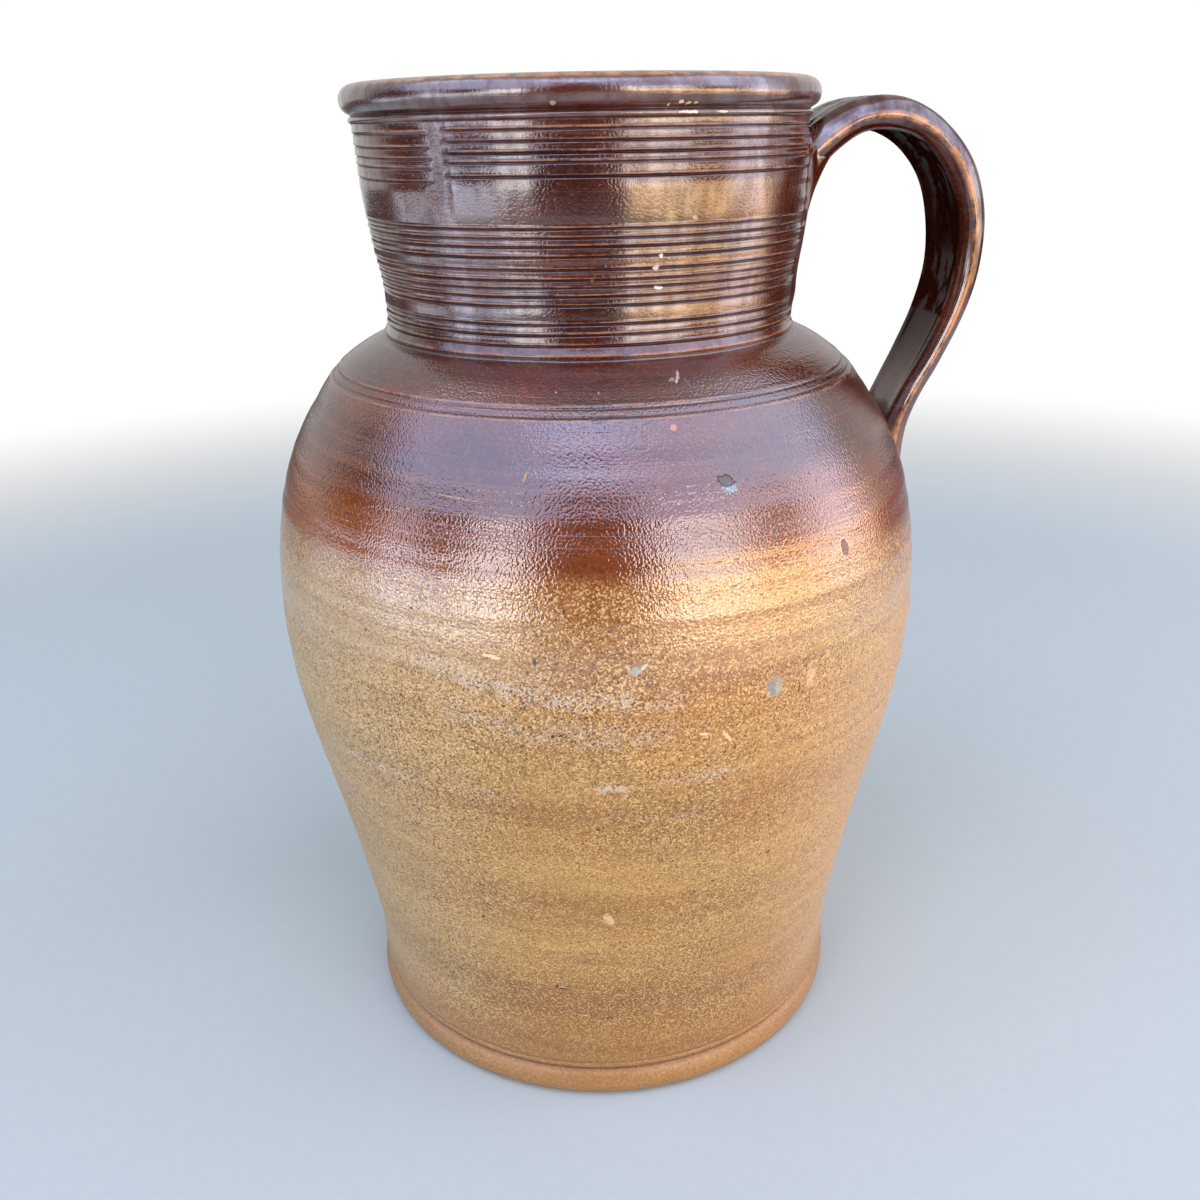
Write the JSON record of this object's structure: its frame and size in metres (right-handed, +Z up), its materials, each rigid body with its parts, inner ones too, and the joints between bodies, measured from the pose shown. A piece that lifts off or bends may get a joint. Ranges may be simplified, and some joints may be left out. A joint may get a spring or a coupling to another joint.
{
  "type": "jug",
  "caption": "Stoneware crock jug with a swelling body, scored shoulder, turned neck collar, rolled rim and a wide pulled strap handle, brown dipped above and tan below.",
  "frame": {"origin": "centre of the flat underside, where the jug stands", "axes": "+Z up along the jug's axis, +X out through the middle of the handle"},
  "size_m": [0.226, 0.2088, 0.305],
  "materials": {
    "base_disc": "bare fired stoneware underneath, glazed inside",
    "foot_bead": "toasted salt glaze",
    "body_wall": "tan salt glaze with an orange-peel skin",
    "shoulder": "brown slip under salt glaze, glossy",
    "neck_collar": "brown slip under salt glaze, worn tan on the turned lines",
    "rim_roll": "brown slip under salt glaze, worn on the top edge",
    "handle_strap": "brown slip under salt glaze, orange along the worn edges",
    "handle_root": "brown slip under salt glaze",
    "handle_tail": "brown slip under salt glaze"
  },
  "bodies": {
    "root": {"base_disc": "base_disc", "foot_bead": "foot_bead", "body_wall": "body_wall", "shoulder": "shoulder", "neck_collar": "neck_collar", "rim_roll": "rim_roll", "handle_strap": "handle_strap", "handle_root": "handle_root", "handle_tail": "handle_tail"}
  },
  "joints": []
}
